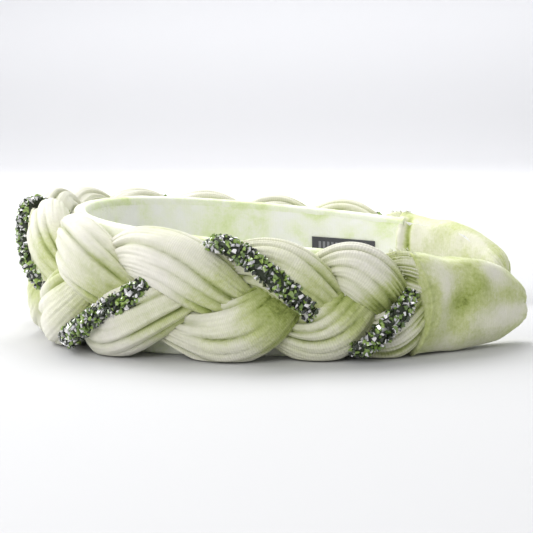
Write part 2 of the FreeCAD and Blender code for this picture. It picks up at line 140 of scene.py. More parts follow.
def add_object(name, vertices, faces, material, attributes=None, uv=None):
    """Smooth-shaded mesh object from millimetre points, with point attributes and UVs by point."""
    mesh = bpy.data.meshes.new(name)
    mesh.from_pydata((np.asarray(vertices) * MM).tolist(), [], faces)
    mesh.update()
    for label, values in (attributes or {}).items():
        layer = mesh.attributes.new(label, "FLOAT", "POINT")
        layer.data.foreach_set("value", np.asarray(values, np.float32).ravel())
    if uv is not None:
        layer = mesh.uv_layers.new(name="UVMap")
        corners = np.zeros(len(mesh.loops), np.int32)
        mesh.loops.foreach_get("vertex_index", corners)
        layer.data.foreach_set("uv", np.asarray(uv, np.float32).reshape(-1, 2)[corners].ravel())
    mesh.polygons.foreach_set("use_smooth", [True] * len(mesh.polygons))
    obj = bpy.data.objects.new(name, mesh)
    bpy.context.scene.collection.objects.link(obj)
    obj.data.materials.append(material)
    return obj


def tube_faces(rows, columns):
    """Quads of a closed tube of vertex rows, with its two ends closed by fans round two more vertices."""
    faces = []
    for row in range(rows - 1):
        base = row * columns
        for column in range(columns):
            after = (column + 1) % columns
            faces.append((base + column, base + after, base + columns + after, base + columns + column))
    first, last = rows * columns, rows * columns + 1
    end = (rows - 1) * columns
    for column in range(columns):
        after = (column + 1) % columns
        faces.append((first, after, column))
        faces.append((last, end + column, end + after))
    return faces


def tube_object(name, grid, material, attributes=None, uv=None):
    """Closed tube from a grid of points, rows along it and columns round it."""
    rows, columns = grid.shape[:2]
    vertices = np.concatenate([grid.reshape(-1, 3), [grid[0].mean(0)], [grid[-1].mean(0)]])
    values = {}
    for label, field in (attributes or {}).items():
        values[label] = np.concatenate([field.ravel(), [field[0].mean(), field[-1].mean()]])
    flat_uv = None
    if uv is not None:
        flat_uv = np.concatenate([uv.reshape(-1, 2), [uv[0].mean(0)], [uv[-1].mean(0)]])
    return add_object(name, vertices, tube_faces(rows, columns), material, values, flat_uv)


def face_outward(obj):
    """Turns the faces of a closed mesh outwards."""
    volume = 0.0
    mesh = obj.data
    mesh.calc_loop_triangles()
    for triangle in mesh.loop_triangles:
        a, b, c = (mesh.vertices[i].co for i in triangle.vertices)
        volume += a.dot(b.cross(c))
    if volume < 0:
        mesh.flip_normals()


def bend_with_crown(obj):
    """Bakes the piece's placement into its mesh."""
    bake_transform(obj)


# ---------------------------------------------------------------- materials

class Nodes:
    """Short calls for building one material's node tree."""

    def __init__(self, name):
        self.material = bpy.data.materials.new(name)
        self.material.use_nodes = True
        self.tree = self.material.node_tree
        self.tree.nodes.clear()
        self.output = self.add("ShaderNodeOutputMaterial")
        self.shader = self.add("ShaderNodeBsdfPrincipled")
        self.link(self.shader.outputs["BSDF"], self.output.inputs["Surface"])

    def add(self, kind, **settings):
        node = self.tree.nodes.new(kind)
        for key, value in settings.items():
            setattr(node, key, value)
        return node

    def link(self, source, target):
        self.tree.links.new(source, target)

    def put(self, target, value):
        if hasattr(value, "is_output"):
            self.link(value, target)
        else:
            target.default_value = value

    def attribute(self, name):
        return self.add("ShaderNodeAttribute", attribute_name=name).outputs["Fac"]

    def object_coordinates(self):
        return self.add("ShaderNodeTexCoord").outputs["Object"]

    def uv(self):
        return self.add("ShaderNodeTexCoord").outputs["UV"]

    def noise(self, vector, scale, detail=3.0, roughness=0.5, distortion=0.0):
        node = self.add("ShaderNodeTexNoise")
        self.link(vector, node.inputs["Vector"])
        node.inputs["Scale"].default_value = scale
        node.inputs["Detail"].default_value = detail
        node.inputs["Roughness"].default_value = roughness
        node.inputs["Distortion"].default_value = distortion
        return node.outputs["Fac"]

    def math(self, operation, a, b=0.0, clamp=False):
        node = self.add("ShaderNodeMath", operation=operation, use_clamp=clamp)
        self.put(node.inputs[0], a)
        self.put(node.inputs[1], b)
        return node.outputs[0]

    def ramp(self, factor, stops):
        node = self.add("ShaderNodeValToRGB")
        self.link(factor, node.inputs["Fac"])
        elements = node.color_ramp.elements
        while len(elements) < len(stops):
            elements.new(0.5)
        for element, (position, color) in zip(elements, stops):
            element.position = position
            element.color = (*color, 1.0)
        return node.outputs["Color"]

    def range(self, value, low, high, to_low=0.0, to_high=1.0):
        node = self.add("ShaderNodeMapRange", interpolation_type="SMOOTHSTEP")
        self.link(value, node.inputs["Value"])
        node.inputs["From Min"].default_value = low
        node.inputs["From Max"].default_value = high
        node.inputs["To Min"].default_value = to_low
        node.inputs["To Max"].default_value = to_high
        return node.outputs["Result"]

    def mix_color(self, factor, a, b, blend="MIX"):
        node = self.add("ShaderNodeMix", data_type="RGBA", blend_type=blend)
        self.put(node.inputs["Factor"], factor)
        self.put(node.inputs["A"], a if hasattr(a, "is_output") else (*a, 1.0))
        self.put(node.inputs["B"], b if hasattr(b, "is_output") else (*b, 1.0))
        return node.outputs["Result"]

    def wave(self, vector, scale, distortion=0.0, detail_scale=1.0):
        node = self.add("ShaderNodeTexWave", wave_type="BANDS", bands_direction="X")
        self.link(vector, node.inputs["Vector"])
        node.inputs["Scale"].default_value = scale
        node.inputs["Distortion"].default_value = distortion
        node.inputs["Detail Scale"].default_value = detail_scale
        return node.outputs["Fac"]

    def bump(self, height, strength, distance, under=None):
        node = self.add("ShaderNodeBump")
        self.link(height, node.inputs["Height"])
        node.inputs["Strength"].default_value = strength
        node.inputs["Distance"].default_value = distance
        if under is not None:
            self.link(under, node.inputs["Normal"])
        return node.outputs["Normal"]


CREAM = (0.80, 0.775, 0.69)
PALE_CREAM = (0.72, 0.72, 0.55)
PALE_LIME = (0.54, 0.58, 0.28)
LIME = (0.35, 0.41, 0.12)
DEEP_LIME = (0.15, 0.19, 0.035)
# pile colours from undyed to deepest dye
STRAND_TONES = (CREAM, PALE_CREAM, PALE_LIME, LIME, DEEP_LIME)
LINING_TONES = (
    (0.90, 0.91, 0.84),
    (0.86, 0.89, 0.72),
    (0.74, 0.82, 0.48),
    (0.58, 0.68, 0.27),
    (0.42, 0.52, 0.15),
)
TONE_STOPS = (0.0, 0.35, 0.62, 0.85, 1.0)


def velvet(name, ribs_per_uv, green_shift, rib_bump, rib_tone,
           patch_scale=45.0, patch_depth=0.75, tones=STRAND_TONES):
    """Crushed tie-dyed velvet: cream pile with lime dye and painted shade in its creases, fine ribs across
    the piece, soft sheen.
    """
    n = Nodes(name)
    spot = n.object_coordinates()
    patches = n.noise(spot, patch_scale, 4.0, 0.55, 0.4)
    fleck = n.noise(spot, 900.0, 3.0, 0.7)
    clouds = n.math("MULTIPLY", n.math("SUBTRACT", patches, 0.5), patch_depth)
    # the green attribute holds the tie-dye and, on the strands and sleeves, painted shade in folds, tucks and
    # creases
    dye_and_shade = n.math("ADD", n.attribute("green"), clouds)
    dye_and_shade = n.math("ADD", dye_and_shade, n.math("MULTIPLY", n.math("SUBTRACT", fleck, 0.5), 0.45))
    dye_and_shade = n.math("ADD", dye_and_shade, green_shift, clamp=True)
    color = n.ramp(dye_and_shade, list(zip(TONE_STOPS, tones)))
    # painted shade: colour drawn towards deep lime by the crease attribute, darkest in pleat valleys and
    # gathers
    crease_shade = n.attribute("crease_shade")
    color = n.mix_color(n.math("MULTIPLY", crease_shade, 0.55, clamp=True), color, DEEP_LIME)
    ribs = n.wave(n.uv(), ribs_per_uv, 2.5, 3.0)
    broken = n.math("MULTIPLY", ribs, n.range(n.noise(spot, 260.0, 2.0), 0.3, 0.65, 0.25, 1.0))
    shade = n.math("ADD", 1.0 - rib_tone, n.math("MULTIPLY", broken, 1.6 * rib_tone))
    tone = n.add("ShaderNodeCombineColor")
    for channel in ("Red", "Green", "Blue"):
        n.link(shade, tone.inputs[channel])
    color = n.mix_color(1.0, color, tone.outputs["Color"], "MULTIPLY")
    n.put(n.shader.inputs["Base Color"], color)
    n.shader.inputs["Roughness"].default_value = 0.85
    n.shader.inputs["Sheen Weight"].default_value = 0.55
    n.shader.inputs["Sheen Roughness"].default_value = 0.35
    n.shader.inputs["Sheen Tint"].default_value = (0.95, 1.0, 0.82, 1.0)
    n.shader.inputs["Specular IOR Level"].default_value = 0.2
    pile = n.bump(fleck, 0.35, 0.0006)
    normal = n.bump(ribs, rib_bump, 0.0005, pile)
    n.link(normal, n.shader.inputs["Normal"])
    return n.material


def plain_material(name, color, roughness, metallic=0.0, grain=600.0, depth=0.2):
    """Even finish with a fine grain in its tone and surface."""
    n = Nodes(name)
    grains = n.noise(n.object_coordinates(), grain, 3.0)
    darker = tuple(channel * 0.72 for channel in color)
    n.put(n.shader.inputs["Base Color"], n.mix_color(n.range(grains, 0.3, 0.7), darker, color))
    n.shader.inputs["Roughness"].default_value = roughness
    n.shader.inputs["Metallic"].default_value = metallic
    n.link(n.bump(grains, depth, 0.0003), n.shader.inputs["Normal"])
    return n.material


def label_material():
    """Black woven satin with a row of plain pale bars where a label has its print."""
    n = Nodes("label_satin")
    parts = n.add("ShaderNodeSeparateXYZ")
    n.link(n.uv(), parts.inputs["Vector"])
    row = n.math("SUBTRACT", parts.outputs["Y"], 0.70)
    row = n.math("LESS_THAN", n.math("ABSOLUTE", row), 0.13)
    ends = n.math("LESS_THAN", n.math("ABSOLUTE", n.math("SUBTRACT", parts.outputs["X"], 0.5)), 0.40)
    bars = n.math("GREATER_THAN", n.math("SINE", n.math("MULTIPLY", parts.outputs["X"], 95.0)), -0.2)
    mark = n.math("MULTIPLY", n.math("MULTIPLY", row, ends), bars)
    weave = n.math("SINE", n.math("MULTIPLY", parts.outputs["X"], 420.0))
    dark = n.mix_color(n.range(weave, -1.0, 1.0), (0.035, 0.035, 0.04), (0.07, 0.07, 0.078))
    n.put(n.shader.inputs["Base Color"], n.mix_color(n.math("MULTIPLY", mark, 0.6), dark, (0.34, 0.34, 0.36)))
    n.shader.inputs["Roughness"].default_value = 0.5
    n.shader.inputs["Sheen Weight"].default_value = 0.3
    n.link(n.bump(weave, 0.3, 0.0001), n.shader.inputs["Normal"])
    return n.material


def crystal_material(name, dark, light, metallic, roughness):
    """Glossy chip finish whose colour varies from chip to chip."""
    n = Nodes(name)
    tint = n.attribute("tint")
    n.put(n.shader.inputs["Base Color"], n.mix_color(tint, dark, light))
    n.shader.inputs["Roughness"].default_value = roughness
    n.shader.inputs["Metallic"].default_value = metallic
    n.shader.inputs["Specular IOR Level"].default_value = 0.8
    n.shader.inputs["Coat Weight"].default_value = 0.6
    n.shader.inputs["Coat Roughness"].default_value = 0.03
    return n.material


# ---------------------------------------------------------------- plait

STRAND_NUMBER = {"a": 0, "b": 1, "c": 2}
STRAND_SEED = {"a": 3.0, "b": 11.0, "c": 23.0}
TUCK = 9.4             # how far the strands reach into the sleeves
GATHER_BEFORE = 9.0    # how far before the sleeves they start to draw in
GATHER_SHARE = 0.66
LOBE_PHASE = math.radians(135)     # phase of strand a where its lobe is centred
PLEATS = 13
REST_LIFT = 0.15       # gap under the pieces that lie on the surface
# a strand's half width, half thickness and middle, where it passes under and where it lies on top
HALF_WIDE = (6.8, 11.9)
HALF_DEEP = (3.6, 7.7)
MIDDLE_OUT = (3.9, 8.4)
EDGE_TO_MIDDLE = 9.2


def plait_phase(run, strand):
    """Phase of a strand's swing at runs, with the uneven spacing of the lobes."""
    ease = np.linspace(-5, 5, 7)
    later = sum(np.interp(run + step, LATER_AT, LATER_BY) for step in ease) / len(ease)
    lobes = (run - later - LOBE_AT) / PITCH + STRAND_NUMBER[strand] / 3
    return 2 * math.pi * lobes + LOBE_PHASE


def gather(run):
    """Share of its full section that a strand keeps as it runs into a sleeve."""
    part = smooth(np.abs(run), SEAM - GATHER_BEFORE, SEAM + TUCK)
    return 1.0 - (1.0 - GATHER_SHARE) * part


def strand_frame(run, strand):
    """Middle, across and outward directions, half width, half thickness and outsideness at runs."""
    angle = plait_phase(run, strand)
    over = 0.5 * (1 - np.sin(2 * angle))
    kept = gather(run)
    high = (1 - HEIGHT_TAPER * np.abs(run)) * kept
    thick = (1 - THICK_TAPER * np.abs(run)) * kept
    wide = mix(*HALF_WIDE, over ** 0.75) * high
    deep = mix(*HALF_DEEP, over ** 0.9) * thick
    middle = PLAIT_BACK + mix(*MIDDLE_OUT, over) * thick
    swing = (PLAIT_HEIGHT / 2 - EDGE_TO_MIDDLE) * high
    height = PLAIT_HEIGHT / 2 * (1 - HEIGHT_TAPER * np.abs(run)) + swing * np.sin(angle)
    centre = place(run, middle, height)
    ahead = np.gradient(centre, axis=0)
    ahead /= np.linalg.norm(ahead, axis=1, keepdims=True)
    _, _, outward = band_axes(run)
    across = np.cross(ahead, outward)
    across /= np.linalg.norm(across, axis=1, keepdims=True)
    out = np.cross(across, ahead)
    return centre, across, out, wide, deep, over, angle


def pleat_vigour(run, number, seed, length):
    """Strength from 0 to about 1.3 of each numbered pleat, changing along the strand."""
    steps = np.arange(run.min(), run.max() + length, length)
    lowest, highest = int(number.min()), int(number.max())
    random = np.random.default_rng(int(seed * 100))
    table = np.clip(random.uniform(-0.2, 1.3, size=(highest - lowest + 1, len(steps))), 0.0, 1.3)
    spot = (run - steps[0]) / length
    first = np.clip(np.floor(spot).astype(int), 0, len(steps) - 2)
    part = (spot - first)[:, None]
    part = part * part * (3 - 2 * part)
    which = number.astype(int) - lowest
    first = np.broadcast_to(first[:, None], which.shape)
    return table[which, first] * (1 - part) + table[which, first + 1] * part


def sharp_valleys(number, power):
    """Depth from 0 to 1 of narrow valleys, one at each whole number."""
    return 1.0 - np.abs(np.sin(math.pi * (number - np.round(number)))) ** power


def rest_on(grid, run, back, low):
    """Presses a grid flat against the cover behind it and softly on the surface below it."""
    point, _, outward = band_axes(run)
    gap = ((grid - point[:, None, :]) * outward[:, None, :]).sum(-1)
    grid = grid + outward[:, None, :] * np.maximum(back - gap, 0.0)[..., None]
    height = grid[..., 2]
    ease = low - REST_LIFT
    pressed = REST_LIFT + ease * np.exp((np.minimum(height, low) - low) / ease)
    grid[..., 2] = np.where(height < low, pressed, height)
    return grid


def rounded_section(turn, power):
    """Cosine and sine of the turn round a section, and the reach there of a squared-off circle."""
    u = np.cos(turn)[None, :]
    v = np.sin(turn)[None, :]
    return u, v, 1.0 / (np.abs(u) ** power + np.abs(v) ** power) ** (1 / power)


def strand_grid(strand, rows, columns):
    """Surface points of one strand, with its painted crease shade, its dye and painted shade, and surface
    coordinates.
    """
    reach = SEAM + TUCK
    run = np.linspace(-reach, reach, rows)
    centre, across, out, wide, deep, over, angle = strand_frame(run, strand)
    turn = np.linspace(0, 2 * math.pi, columns, endpoint=False)
    seed = STRAND_SEED[strand]

    # pleats follow the strand, wander, come and go, and deepen where the strand is pinched
    where = np.stack(np.broadcast_arrays(run[:, None] * 0.55, np.cos(turn) * 9.0, np.sin(turn) * 9.0), -1)
    wander = noise_field(where, 17.0, seed, 2)
    share = turn[None, :] / (2 * math.pi)
    pleat = share * PLEATS + 0.95 * wander
    pinch = 1 - over[:, None]
    vigour = pleat_vigour(run, np.round(pleat), seed, 12.0)
    valley = sharp_valleys(pleat, 0.5) * vigour * mix(0.75, 1.35, pinch)
    gathers = share * 3 * PLEATS + 1.3 * wander
    fine = sharp_valleys(gathers, 0.7) * pleat_vigour(run, np.round(gathers), seed + 50, 7.0)
    tied = smooth(np.abs(run), SEAM - 18.0, SEAM - 7.0)[:, None]
    fine = fine * mix(0.35, 1.2, pinch) * (1 + 2.0 * tied)
    belly = 1.0 + 0.07 * noise_field(where, 13.0, seed + 2, 1)
    drop = 2.5 * valley + 0.6 * fine

    u, v, shape = rounded_section(turn, 2.3)
    half_u = np.maximum(wide[:, None] * belly * shape - drop, 2.0)
    half_v = np.maximum(deep[:, None] * belly * shape - drop, 1.5)
    grid = centre[:, None, :] + across[:, None, :] * (half_u * u)[..., None]
    grid = rest_on(grid + out[:, None, :] * (half_v * v)[..., None], run, PLAIT_BACK + 0.15, 0.9)

    # dye and painted shade: tie-dye clouds, with painted shade that makes it greener in the folds, where the
    # strand passes under, towards the tucked end of each lobe and in the gathers near the sleeves
    toward_tuck = np.cos(angle - math.radians(180)) ** 2
    dye_and_shade = 0.10 + 0.45 * np.clip(valley, 0, 1) + 0.38 * smooth(toward_tuck, 0.3, 1.0)[:, None] + 0.12 * pinch
    dye_and_shade = dye_and_shade + 0.30 * noise_field(grid, 22.0, seed + 1, 2)
    dye_and_shade = dye_and_shade + 0.35 * tied * np.clip(fine, 0, 1)
    dye_and_shade = dye_and_shade + 0.16 * smooth(run, 30.0, 150.0)[:, None] - 0.06 * smooth(-run, -40, 60)[:, None]
    step = np.linalg.norm(np.diff(centre, axis=0), axis=1)
    along = np.concatenate([[0], np.cumsum(step)])
    uv = np.stack(np.broadcast_arrays(along[:, None] / 100.0, turn[None, :] / (2 * math.pi)), -1)
    return grid, {"crease_shade": np.clip(valley + 0.3 * fine, 0, 1), "green": np.clip(dye_and_shade, 0, 1)}, uv


def make_strand(strand, material):
    """Pleated velvet tube from one sleeve to the other."""
    rows, columns = ((640, 150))
    grid, fields, uv = strand_grid(strand, rows, columns)
    obj = tube_object(f"velvet_strand_{strand}", grid, material, fields, uv)
    face_outward(obj)
    nodes = [f"{half}_{kind}_{strand}" for half in ("right", "left") for kind in ("strand", "wadding")]
    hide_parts(*nodes)
    bend_with_crown(obj)


# ---------------------------------------------------------------- crystal trim

TRIM_WIDTH = 6.8
TRIM_RISE = 3.2
# the trim over half a turn of strand a: its height as a share of the plait's half height on the
# side of the lobe, and its place between the plait's back and face
TRIM_TURN = [38, 50, 65, 90, 115, 137, 155, 165, 180, 200, 218]
TRIM_HEIGHT = [0.68, 0.90, 0.90, 0.70, 0.43, 0.19, -0.01, -0.15, -0.42, -0.64, -0.68]
TRIM_DEPTH = [0.28, 0.68, 0.96, 1.07, 1.11, 1.07, 0.98, 0.78, 0.42, 0.24, 0.28]


TRIM_LEAD = 5.0        # degrees by which the trim leads its strand, and what is added near the sleeve
TRIM_LEAD_MORE = 9.0


def trim_lines(run):
    """Middle, sideways and raised directions of the trim along strand a."""
    angle = np.degrees(plait_phase(run, "a")) + TRIM_LEAD + TRIM_LEAD_MORE * smooth(run, 112.0, 135.0)
    turn = (angle - TRIM_TURN[0]) % 180 + TRIM_TURN[0]
    lobe_side = np.where(((angle - TRIM_TURN[0]) // 180) % 2 == 0, 1.0, -1.0)
    share = np.interp(turn, TRIM_TURN, TRIM_HEIGHT) * lobe_side
    depth = np.interp(turn, TRIM_TURN, TRIM_DEPTH)
    share = share * np.where(share > 0, mix(0.90, 1.04, smooth(run, -5.0, 15.0)), 0.90)
    soft = np.hanning(13)[1:-1]
    soft /= soft.sum()
    pad = len(soft) // 2
    share = np.convolve(np.pad(share, pad, "edge"), soft, "valid")
    share = share * (1 - 0.25 * smooth(-run, 95.0, 120.0))
    depth = np.convolve(np.pad(depth, pad, "edge"), soft, "valid")
    kept = gather(run)
    half = PLAIT_HEIGHT / 2 * (1 - HEIGHT_TAPER * np.abs(run))
    thick = PLAIT_THICK * (1 - THICK_TAPER * np.abs(run)) * kept
    _, _, outward = band_axes(run)
    middle = place(run, PLAIT_BACK + thick * depth, half * (1 + share * mix(1.0, kept, 0.7)))
    up = np.array([0.0, 0.0, 1.0])
    rise = outward * np.maximum(depth - 0.25, 0.12)[:, None] + up * (0.9 * share ** 3)[:, None]
    rise /= np.linalg.norm(rise, axis=1, keepdims=True)
    ahead = np.gradient(middle, axis=0)
    ahead /= np.linalg.norm(ahead, axis=1, keepdims=True)
    sideways = np.cross(rise, ahead)
    sideways /= np.linalg.norm(sideways, axis=1, keepdims=True)
    return middle, sideways, np.cross(ahead, sideways)


def trim_surface(run, share, grow):
    """Points on the rounded face of the trim; share runs from 0 to 1 over it, from side to side."""
    middle, sideways, rise = trim_lines(run)
    kept = gather(run)[:, None]
    turn = math.pi * share[None, :]
    half = (TRIM_WIDTH / 2 - 0.5 + grow) * kept
    high = (TRIM_RISE - 0.5 + grow) * kept
    aside = -half * np.cos(turn)
    up = high * np.sin(turn) ** 0.8 - 1.2
    return middle[:, None, :] + sideways[:, None, :] * aside[..., None] + rise[:, None, :] * up[..., None]


def trim_grid(rows, columns):
    """Closed surface of the tape, just under the chips that stand on it."""
    reach = SEAM + TUCK - 1.0
    run = np.linspace(-reach, reach, rows)
    face = trim_surface(run, np.linspace(0, 1, columns), -0.35)
    middle, _, rise = trim_lines(run)
    under = middle - rise * 2.0
    back = np.stack([mix(face[:, -1], under, 0.6), mix(face[:, 0], under, 0.6)], 1)
    return np.concatenate([face, back], 1)


def chip_shape(name, corners, seed):
    """One crushed chip: the hull of a few random points."""
    random = np.random.default_rng(seed)
    points = random.normal(size=(corners, 3))
    points /= np.linalg.norm(points, axis=1, keepdims=True)
    points *= random.uniform(0.75, 1.0, size=(corners, 1))
    points[:, 2] *= 0.8
    mesh = bpy.data.meshes.new(name)
    work = bmesh.new()
    for point in points * MM:
        work.verts.new(point)
    bmesh.ops.convex_hull(work, input=work.verts)
    loose = [v for v in work.verts if not v.link_faces]
    bmesh.ops.delete(work, geom=loose, context="VERTS")
    bmesh.ops.recalc_face_normals(work, faces=work.faces)
    work.to_mesh(mesh)
    work.free()
    return bpy.data.objects.new(name, mesh)


def chips_tree(chips, materials):
    """Scatters chips over a strip and colours them by kind: chips[i] takes materials[i]."""
    tree = bpy.data.node_groups.new("crystal_chips", "GeometryNodeTree")
    face = tree.interface
    face.new_socket("Geometry", in_out="INPUT", socket_type="NodeSocketGeometry")
    spacing = face.new_socket("Spacing", in_out="INPUT", socket_type="NodeSocketFloat")
    size = face.new_socket("Chip size", in_out="INPUT", socket_type="NodeSocketFloat")
    face.new_socket("Geometry", in_out="OUTPUT", socket_type="NodeSocketGeometry")
    node = tree.nodes.new
    link = tree.links.new
    enter = node("NodeGroupInput")
    leave = node("NodeGroupOutput")
    join = node("GeometryNodeJoinGeometry")
    for number, (chip, material) in enumerate(zip(chips, materials)):
        points = node("GeometryNodeDistributePointsOnFaces")
        points.distribute_method = "POISSON"
        link(enter.outputs["Geometry"], points.inputs["Mesh"])
        link(enter.outputs["Spacing"], points.inputs["Distance Min"])
        points.inputs["Density Max"].default_value = 900000.0
        points.inputs["Seed"].default_value = 7 + number
        share = node("FunctionNodeRandomValue")
        share.data_type = "BOOLEAN"
        share.inputs["Seed"].default_value = 40 + number
        probability = next(s for s in share.inputs if s.name == "Probability")
        probability.default_value = CHIP_SHARE[number]
        info = node("GeometryNodeObjectInfo")
        info.inputs["Object"].default_value = chip
        turn = node("FunctionNodeRandomValue")
        turn.data_type = "FLOAT_VECTOR"
        turn.inputs["Min"].default_value = (0, 0, 0)
        turn.inputs["Max"].default_value = (6.28, 6.28, 6.28)
        turn.inputs["Seed"].default_value = 90 + number
        grow = node("FunctionNodeRandomValue")
        grow.data_type = "FLOAT"
        grow.inputs[2].default_value = 0.62
        grow.inputs[3].default_value = 1.25
        grow.inputs["Seed"].default_value = 120 + number
        scale = node("ShaderNodeMath")
        scale.operation = "MULTIPLY"
        link(grow.outputs[1], scale.inputs[0])
        link(enter.outputs["Chip size"], scale.inputs[1])
        spread = node("GeometryNodeInstanceOnPoints")
        link(points.outputs["Points"], spread.inputs["Points"])
        link(share.outputs[3], spread.inputs["Selection"])
        link(info.outputs["Geometry"], spread.inputs["Instance"])
        link(turn.outputs[0], spread.inputs["Rotation"])
        link(scale.outputs[0], spread.inputs["Scale"])
        tint = node("FunctionNodeRandomValue")
        tint.data_type = "FLOAT"
        tint.inputs["Seed"].default_value = 150 + number
        keep = node("GeometryNodeStoreNamedAttribute")
        keep.domain = "INSTANCE"
        keep.inputs["Name"].default_value = "tint"
        link(spread.outputs["Instances"], keep.inputs["Geometry"])
        link(tint.outputs[1], keep.inputs["Value"])
        real = node("GeometryNodeRealizeInstances")
        link(keep.outputs["Geometry"], real.inputs["Geometry"])
        paint = node("GeometryNodeSetMaterial")
        paint.inputs["Material"].default_value = material
        link(real.outputs["Geometry"], paint.inputs["Geometry"])
        link(paint.outputs["Geometry"], join.inputs["Geometry"])
    link(join.outputs["Geometry"], leave.inputs["Geometry"])
    return tree, spacing.identifier, size.identifier


CHIP_SHARE = [0.60, 0.66, 0.62]


def apply_tree(source, tree, inputs, name):
    """Runs a node tree on an object and returns what it makes as a plain mesh object."""
    modifier = source.modifiers.new("make", "NODES")
    modifier.node_group = tree
    for identifier, value in inputs.items():
        modifier[identifier] = value
    bpy.context.view_layer.update()
    seen = source.evaluated_get(bpy.context.evaluated_depsgraph_get())
    mesh = bpy.data.meshes.new_from_object(seen)
    mesh.name = name
    source.modifiers.remove(modifier)
    obj = bpy.data.objects.new(name, mesh)
    bpy.context.scene.collection.objects.link(obj)
    return obj


def make_trim(tape_material, chip_materials):
    """Rounded tape along strand a, and the crushed chips that cover its face."""
    tape = tube_object("trim_tape", trim_grid(700, 14), tape_material)
    face_outward(tape)
    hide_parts("right_trim_tape", "left_trim_tape")

    # the chips stand on the rounded face only
    reach = SEAM + TUCK - 3.0
    run = np.linspace(-reach, reach, 500)
    share = np.linspace(0.02, 0.98, 11)
    bed = trim_surface(run, share, 0.0)
    faces = []
    for row in range(len(run) - 1):
        for column in range(len(share) - 1):
            corner = row * len(share) + column
            faces.append((corner, corner + 1, corner + len(share) + 1, corner + len(share)))
    strip = add_object("chip_bed", bed.reshape(-1, 3), faces, tape_material)
    chips = [chip_shape(f"chip_{number}", 9, 5 + number) for number in range(3)]
    tree, spacing, size = chips_tree(chips, chip_materials)
    crystals = apply_tree(strip, tree, {spacing: 0.95 * MM, size: 1.10}, "crystal_chips")
    bpy.data.objects.remove(strip)
    crystals.data.polygons.foreach_set("use_smooth", [False] * len(crystals.data.polygons))
    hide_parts("right_crystals", "left_crystals")
    bend_with_crown(tape)
    bend_with_crown(crystals)


# ---------------------------------------------------------------- cover, lining and label

# height of the cover's upper edge at the crown and where the sleeves start, and of its lower edge
EDGE_CROWN = 40.2
EDGE_SEAM = 28.6
EDGE_LIFT = 0.3


def edge_height(run):
    """Height of the core cover's upper edge."""
    point, _, _ = band_axes(run)
    seam_x = band_axes(np.array([SEAM]))[0][0, 0]
    share = np.clip((point[..., 0] - CROWN_X) / (seam_x - CROWN_X), 0.0, 1.2)
    return EDGE_CROWN + (EDGE_SEAM - EDGE_CROWN) * share


def strap_grid(run, profile, inset):
    """Sweeps a closed profile of (out, share of height) points along the strap."""
    top = edge_height(run) - inset
    low = EDGE_LIFT + inset
    rows = []
    for out, share, lift in profile:
        height = low + (top - low) * share + lift
        rows.append(place(run, np.full_like(run, out), height))
    return np.stack(rows, 1)


def make_cover(material):
    """Velvet over the back of the core, rolled over its edges to the inside."""
    reach = SEAM + 1.0
    run = np.linspace(-reach, reach, 420)
    roll = np.linspace(0, math.pi, 11)
    rise = np.linspace(0.06, 0.94, 14)
    # over the upper edge, down the inside, under the lower edge and up the back
    profile = [(2.0 * math.cos(turn), 1.0, 1.1 * math.sin(turn) - 0.9) for turn in roll]
    profile += [(-2.15 if abs(share - 0.5) > 0.43 else -1.15, share, 0.0) for share in rise[::-1]]
    profile += [(-2.0 * math.cos(turn), 0.0, 0.9 - 1.1 * math.sin(turn)) for turn in roll]
    profile += [(1.95, share, 0.0) for share in rise]
    grid = strap_grid(run, profile, 0.0)
    columns = grid.shape[1]
    soft = 0.12 * noise_field(grid, 6.0, 31, 2)
    _, _, outward = band_axes(run)
    grid = grid + outward[:, None, :] * soft[..., None]
    green = np.full(grid.shape[:2], 0.50) + 0.2 * noise_field(grid, 14.0, 33, 2)
    uv = np.stack(np.broadcast_arrays(run[:, None] / 100.0, np.linspace(0, 1, columns)[None, :]), -1)
    obj = tube_object("core_cover", grid, material, {"green": green, "crease_shade": green * 0}, uv)
    face_outward(obj)
    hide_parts("right_cover", "left_cover")
    bend_with_crown(obj)


def make_lining(material):
    """Velvet strap against the head, lightly padded between its edges."""
    reach = SEAM + 1.0
    run = np.linspace(-reach, reach, 700)
    across = np.linspace(0, 1, 60)
    swell = 0.55 * (1 - np.abs(2 * across - 1) ** 6)
    profile = [(-1.75 - rise, share, 0.0) for rise, share in zip(swell, across)]
    profile += [(-1.25, share, 0.0) for share in across[::-1]]
    grid = strap_grid(run, profile, 0.7)
    inner = np.zeros(grid.shape[1])
    inner[:len(across)] = 1 - np.abs(2 * across - 1) ** 8
    soft = 0.16 * noise_field(grid, 9.0, 41, 3) * inner[None, :]
    _, _, outward = band_axes(run)
    grid = grid + outward[:, None, :] * soft[..., None]
    cloud = noise_field(grid, 15.0, 43, 3)
    dye_and_shade = 0.42 + 0.44 * cloud
    share = np.concatenate([across, across[::-1]])
    dye_and_shade = dye_and_shade + 0.3 * smooth(share, 0.9, 1.0)[None, :] + 0.25 * smooth(-share, -0.12, 0.0)[None, :]
    uv = np.stack(np.broadcast_arrays(run[:, None] / 100.0, share[None, :]), -1)
    obj = tube_object("velvet_lining", grid, material, {"green": np.clip(dye_and_shade, 0, 1), "crease_shade": dye_and_shade * 0}, uv)
    face_outward(obj)
    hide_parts("right_lining", "left_lining")
    bend_with_crown(obj)


# ---------------------------------------------------------------- end sleeves

def sleeve_limits(along):
    """Low, high, inner and outer limit of a sleeve; along runs from 0 at its seam to 1 at its nose."""
    closing = along ** 3.4
    high = 29.9 - 2.9 * along - 12.4 * closing - 1.3 * np.exp(-((along - 0.27) / 0.12) ** 2)
    low = 0.1 + 6.9 * closing
    outer = 14.6 - 5.0 * along - 4.2 * closing
    inner = -3.5 + 3.0 * closing
    return low, high, inner, outer


